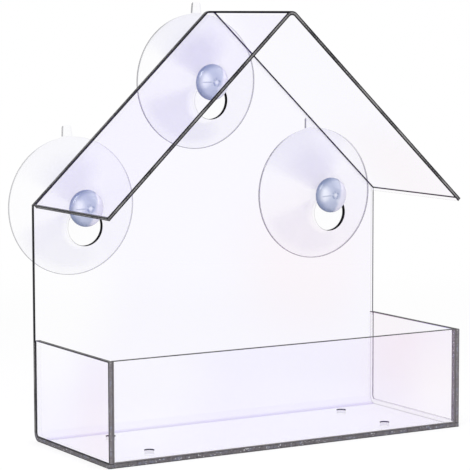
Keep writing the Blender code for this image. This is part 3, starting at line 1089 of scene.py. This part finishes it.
class MakeTrayWalls(Operator):
    """Makes the tray's two end walls and its front wall, each with the cement of its joints"""

    bl_idname = "window_feeder.tray_walls"
    bl_label = "Tray walls"

    def end_wall(self, sheet, tones, side, name, node):
        """One end wall: side is -1 for the left one and 1 for the right one."""
        rear, base = SIDE_HIGH.y, SIDE_LOW.z
        gap = base - sheet.panel_sheet
        half = sheet.panel_sheet / 2
        edge = 2 * sheet.arris
        radius = sheet.floor_bend - gap
        centre = Vector((rear - radius, base + radius))
        corner = arc(centre, radius, -math.pi / 2, 0.0, CORNER_STEPS)
        top = [Vector((rear, TRAY_HEIGHT)), Vector((FRONT_FACE, TRAY_HEIGHT))]
        outline = [Vector((FRONT_FACE, base)), *corner, *top]
        bm = cut_sheet([(outline, CUT)], sheet.panel_sheet, sheet.arris)
        place_sheet(bm, lambda u, v, w: Vector((side * (SIDE_FACE - half + w), u, v)))
        give_slot(bm, TRAY_CUT, lambda spot: spot.y < FRONT_FACE + edge)
        give_slot(bm, WELDED, lambda spot: spot.z < TRAY_HEIGHT - edge and (
            spot.y > rear - radius - edge or spot.z < base + edge))
        x = side * (SIDE_FACE - half)
        inward = Vector((-side, 0.0, 0.0))
        front = Vector((x, FRONT_FACE + WELD_SETBACK * sheet.arris, base - gap / 2))
        path = [(front, inward, Vector((0.0, 0.0, 1.0)))]
        for point in arc(centre, radius + gap / 2, -math.pi / 2, 0.0, CORNER_STEPS):
            path.append((Vector((x, *point)), inward, Vector((0.0, *(centre - point).normalized()))))
        top_end = Vector((x, rear + gap / 2, TRAY_HEIGHT - sheet.arris))
        path.append((top_end, inward, Vector((0.0, -1.0, 0.0))))
        weld(bm, path, half, gap, sheet)
        # A painted reflection of the cut edge along the wall's top
        painted_edge_reflection = (1, (TRAY_HEIGHT - TRAY_TOP_EDGE_REFLECTION) / MM, 0.6)
        materials = sheet_materials(node, tones, line_inside=0.12, painted_edge_reflection=painted_edge_reflection)
        add_piece(name, bm, materials, "house", node)

    def front_wall(self, sheet, tones):
        """The front wall, which stands on the floor between the two end walls."""
        low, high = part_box("tray_front")
        gap = low.z - sheet.panel_sheet
        half = sheet.panel_sheet / 2
        edge = 2 * sheet.arris
        corners = [(low.x, low.z), (high.x, low.z), (high.x, high.z), (low.x, high.z)]
        bm = cut_sheet([([Vector(corner) for corner in corners], CUT)], sheet.panel_sheet, sheet.arris)
        place_sheet(bm, lambda u, v, w: Vector((u, FRONT_FACE + half - w, v)))
        give_slot(bm, WELDED, lambda spot: spot.z < low.z + edge)
        give_slot(bm, TRAY_CUT, lambda spot: abs(spot.x) > high.x - edge)
        path = []
        right, base, top = high.x + gap / 2, low.z - gap / 2, high.z - sheet.arris
        for side, z, rise in ((-1, top, 0.0), (-1, base, 1.0), (1, base, 1.0), (1, top, 0.0)):
            point = Vector((side * right, FRONT_FACE + half, z))
            path.append((point, Vector((0.0, 1.0, 0.0)), Vector((-side, 0.0, rise))))
        weld(bm, path, half, gap, sheet)
        materials = sheet_materials("tray_front", tones, through=0.94, weld_shade=tones.tray_core)
        add_piece("tray_wall_front", bm, materials, "house", "tray_front")

    def execute(self, context):
        settings = context.scene.window_feeder
        sheet, tones = settings.sheet, settings.colour
        self.end_wall(sheet, tones, -1, "tray_wall_left", "tray_side_left")
        self.end_wall(sheet, tones, 1, "tray_wall_right", "tray_side_right")
        self.front_wall(sheet, tones)
        return {"FINISHED"}


def rounded(corners):
    """A path through (r, y, fillet) corners, with each fillet drawn as an arc tangent to both sides."""
    path = [Vector(corners[0][:2])]
    for before, here, after in zip(corners, corners[1:], corners[2:]):
        point = Vector(here[:2])
        back = (Vector(before[:2]) - point).normalized()
        ahead = (Vector(after[:2]) - point).normalized()
        if not here[2]:
            path.append(point)
            continue
        half = back.angle(ahead) / 2
        centre = point + (back + ahead).normalized() * (here[2] / math.sin(half))
        reach = here[2] / math.tan(half)
        start = point + back * reach - centre
        end = point + ahead * reach - centre
        for i in range(FILLET_STEPS + 1):
            path.append(centre + start.slerp(end, i / FILLET_STEPS).normalized() * here[2])
    return [*path, Vector(corners[-1][:2])]


def cup_section(sheet, cup):
    """Half of the cup's section as (radius, distance behind the back's rear face), tip to hollow."""
    radius, inner = cup.diameter / 2, cup.diameter / 2 - cup.lip
    collar, neck, head = cup.collar / 2, cup.neck / 2, cup.head / 2
    underside = -(sheet.panel_sheet + cup.head_gap)
    edge = underside - cup.head_edge
    height = cup.head_height - cup.head_edge

    def crown(turn):
        """The head's round front, with the ring of the moulding mark."""
        r = head * math.sin(turn)
        dimple = cup.gate_depth * math.exp(-((r / cup.gate_radius - 1.0) ** 2) * GATE_SHARPNESS)
        return r, edge - height * math.cos(turn) + dimple, 0.0

    def dome(r):
        """The side of the disc that faces the sheet, from the collar to the rim."""
        part = (r - collar) / (radius - collar)
        return cup.collar_gap + (cup.reach - cup.rim - cup.collar_gap) * part**DOME_CURVE

    def hollow(r):
        """The hollow side, with its faint rings."""
        part = r / inner
        rings = cup.ripple * math.sin(2 * math.pi * r / cup.ripple_pitch) * math.sin(math.pi * part) ** 2
        return cup.reach - cup.cavity * (1 - part**2) + rings

    reach = radius - cup.rim_fillet * FILLET_ROOM - collar
    dome_radii = [collar + reach * (i / DOME_STEPS) ** DOME_CROWDING for i in range(1, DOME_STEPS + 1)]
    hollow_radii = [inner * (1 - i / CAVITY_STEPS) for i in range(1, CAVITY_STEPS + 1)]
    corners = [
        *(crown(math.pi / 2 * i / HEAD_STEPS) for i in range(HEAD_STEPS + 1)),
        (head, underside, cup.head_fillet),
        (neck, underside, cup.neck_fillet),
        (neck, cup.collar_gap, cup.neck_fillet),
        (collar, cup.collar_gap, 0.0),
        *((r, dome(r), 0.0) for r in dome_radii),
        (radius, dome(radius), cup.rim_fillet),
        (radius, cup.reach, cup.rim_fillet),
        (inner, cup.reach, cup.neck_fillet),
        *((r, hollow(r), 0.0) for r in hollow_radii),
    ]
    return rounded(corners)


def turned(section):
    """A bmesh made by turning a section about the Y axis, closed on the axis at both ends."""
    bm = bmesh.new()
    verts = [bm.verts.new((r, y, 0.0)) for r, y in section]
    edges = [bm.edges.new(pair) for pair in zip(verts, verts[1:])]
    bmesh.ops.spin(
        bm,
        geom=verts + edges,
        cent=(0.0, 0.0, 0.0),
        axis=(0.0, 1.0, 0.0),
        angle=2 * math.pi,
        steps=CUP_SEGMENTS,
        use_merge=True,
    )
    bmesh.ops.remove_doubles(bm, verts=bm.verts, dist=MERGE_DISTANCE)
    bm.normal_update()
    face_outwards(bm, bm.faces[:])
    return bm


def pull_tab(cup):
    """The tab on top of the rim, which narrows to two rounded corners and has rounded edges."""
    half = cup.tab_width / 2
    low = cup.diameter / 2 - cup.tab_root
    corner = cup.tab_corner
    corner_z = cup.diameter / 2 + cup.tab_length - corner
    corner_x = half - (corner_z - low) * math.tan(cup.tab_taper) - corner / math.cos(cup.tab_taper)
    right = arc((corner_x, corner_z), corner, cup.tab_taper, math.pi / 2, CORNER_STEPS)
    left = [Vector((-point.x, point.y)) for point in reversed(right)]
    outline = [Vector((-half, low)), Vector((half, low)), *right, *left]
    bm = cut_sheet([(outline, FACE)], cup.tab_thickness, cup.tab_arris, TAB_ARRIS_STEPS)
    depth = cup.reach - cup.tab_setback - cup.tab_thickness / 2
    place_sheet(bm, lambda u, v, w: Vector((u, depth - w, v)))
    return bm


def joined(first, second):
    """The union of two closed meshes."""
    kept, added = [add_mesh("union part", bm) for bm in (first, second)]
    union = kept.modifiers.new("union", "BOOLEAN")
    union.operation = "UNION"
    union.solver = "EXACT"
    union.object = added
    result = bpy.data.meshes.new_from_object(kept.evaluated_get(bpy.context.evaluated_depsgraph_get()))
    bm = bmesh.new()
    bm.from_mesh(result)
    meshes = [kept.data, added.data, result]
    for obj in (kept, added):
        bpy.data.objects.remove(obj)
    for mesh in meshes:
        bpy.data.meshes.remove(mesh)
    return bm


class MakeCups(Operator):
    """Makes the three suction cups, each on its own body"""

    bl_idname = "window_feeder.suction_cups"
    bl_label = "Suction cups"

    def execute(self, context):
        settings = context.scene.window_feeder
        cup = settings.cup
        places = cup_places(cup)
        for side, body in CUP_BODIES.items():
            name = f"soft vinyl {side}"
            vinyl = soft_vinyl(name, settings, RIM_COVERS[side], FILM_FANS[side])
            bm = joined(turned(cup_section(settings.sheet, cup)), pull_tab(cup))
            if SHEET_PLACE in bm.verts.layers.float_vector:
                bm.verts.layers.float_vector.remove(bm.verts.layers.float_vector[SHEET_PLACE])
            layer = bm.verts.layers.float_vector.new(CUP_PLACE)
            x, z = places[side]
            turn = Matrix.Rotation(-CUP_TURNS[side], 3, "Y")
            for vert in bm.verts:
                vert[layer] = vert.co / MM
                vert.co = turn @ vert.co + Vector((x, REAR_FACE, z))
            for face in bm.faces:
                face.material_index = 0
            add_piece(f"cup_{side}", bm, [vinyl], body, f"suction_cup_{side}")
        return {"FINISHED"}


# Studio


def soft_lamp(name, lamp_place, aim, power):
    """A square area lamp that looks at a point."""
    place, size = lamp_place
    data = bpy.data.lights.new(name, "AREA")
    data.size = size
    data.energy = power
    lamp = add_object(name, data)
    lamp.location = place
    lamp.rotation_mode = "QUATERNION"
    lamp.rotation_quaternion = (aim - Vector(place)).to_track_quat("-Z", "Y")


class MakeStage(Operator):
    """Makes the pale floor, the white surroundings, the soft lights and the camera"""

    bl_idname = "window_feeder.stage"
    bl_label = "Studio"

    def floor(self, stage, tones):
        """The pale floor, a hair below the feeder."""
        bm = bmesh.new()
        bmesh.ops.create_grid(bm, x_segments=8, y_segments=8, size=stage.floor_size / 2)
        obj = add_mesh("studio_floor", bm)
        obj.data.materials.append(studio_floor("studio floor", tones))
        obj.location.z = BACK_LOW.z - FLOOR_GAP

    def surroundings(self, stage):
        """The light from all round, and the white that is seen there."""
        world = bpy.data.worlds.new("studio")
        bpy.context.scene.world = world
        graph = Graph(world)
        sky = graph.wire("ShaderNodeBackground", 0, {}, {"Color": WHITE, "Strength": stage.sky})
        white = graph.wire("ShaderNodeBackground", 0, {}, {"Color": WHITE, "Strength": 1.0})
        surface = graph.blend(graph.background_rays(), sky, white)
        graph.node("ShaderNodeOutputWorld", {}, {"Surface": surface})

    def camera(self, stage):
        """The camera, at its distance and direction from the point it looks at."""
        turn, rise = stage.azimuth, stage.elevation
        back = Vector((math.sin(turn) * math.cos(rise), -math.cos(turn) * math.cos(rise), math.sin(rise)))
        right = Vector((math.cos(turn), math.sin(turn), 0.0))
        up = back.cross(right)
        tilted = right * math.cos(stage.roll) + up * math.sin(stage.roll)
        data = bpy.data.cameras.new("photo_camera")
        data.lens = stage.lens
        data.sensor_width = stage.sensor
        data.clip_start = NEAR_CLIP
        camera = add_object("photo_camera", data)
        axes = Matrix((tilted, back.cross(tilted), back)).transposed()
        target = Vector((stage.target_x, 0.0, stage.target_z))
        camera.matrix_world = Matrix.Translation(target + back * stage.distance) @ axes.to_4x4()
        bpy.context.scene.camera = camera

    def execute(self, context):
        settings = context.scene.window_feeder
        stage = settings.stage
        self.floor(stage, settings.colour)
        self.surroundings(stage)
        middle = Vector((0.0, 0.0, RIDGE_HEIGHT / 2))
        soft_lamp("key_light", KEY_LAMP, middle, stage.key_power)
        soft_lamp("fill_light", FILL_LAMP, middle, stage.fill_power)
        self.camera(stage)
        context.scene.view_settings.view_transform = "Standard"
        context.scene.cycles.transparent_max_bounces = CLEAR_FACES_CROSSED
        return {"FINISHED"}


class FeederPanel(Panel):
    """Lists the feeder's pieces and settings"""

    bl_idname = "VIEW3D_PT_window_feeder"
    bl_label = "Window Feeder"
    bl_space_type = "VIEW_3D"
    bl_region_type = "UI"
    bl_category = "Feeder"

    def draw(self, context):
        settings = context.scene.window_feeder
        for operator in OPERATORS:
            self.layout.operator(operator.bl_idname)
        for pointer in FeederSettings.__annotations__:
            group = getattr(settings, pointer)
            box = self.layout.box()
            box.label(text=settings.bl_rna.properties[pointer].name)
            for name in group.__annotations__:
                box.prop(group, name)


GROUPS = (
    FeederSheetSettings,
    FeederHoleSettings,
    FeederCupSettings,
    FeederColourSettings,
    FeederStageSettings,
    FeederSettings,
)
OPERATORS = (MakeStage, MakeBackAndFloor, MakeRoof, MakeTrayWalls, MakeCups)


def register():
    for cls in (*GROUPS, *OPERATORS, FeederPanel):
        bpy.utils.register_class(cls)
    bpy.types.Scene.window_feeder = PointerProperty(type=FeederSettings)


def unregister():
    del bpy.types.Scene.window_feeder
    for cls in reversed((*GROUPS, *OPERATORS, FeederPanel)):
        bpy.utils.unregister_class(cls)


def main():
    """Makes the studio and every piece."""
    register()
    bpy.ops.window_feeder.stage()
    bpy.ops.window_feeder.back_and_floor()
    bpy.ops.window_feeder.roof()
    bpy.ops.window_feeder.tray_walls()
    bpy.ops.window_feeder.suction_cups()


if __name__ == "__main__":
    main()
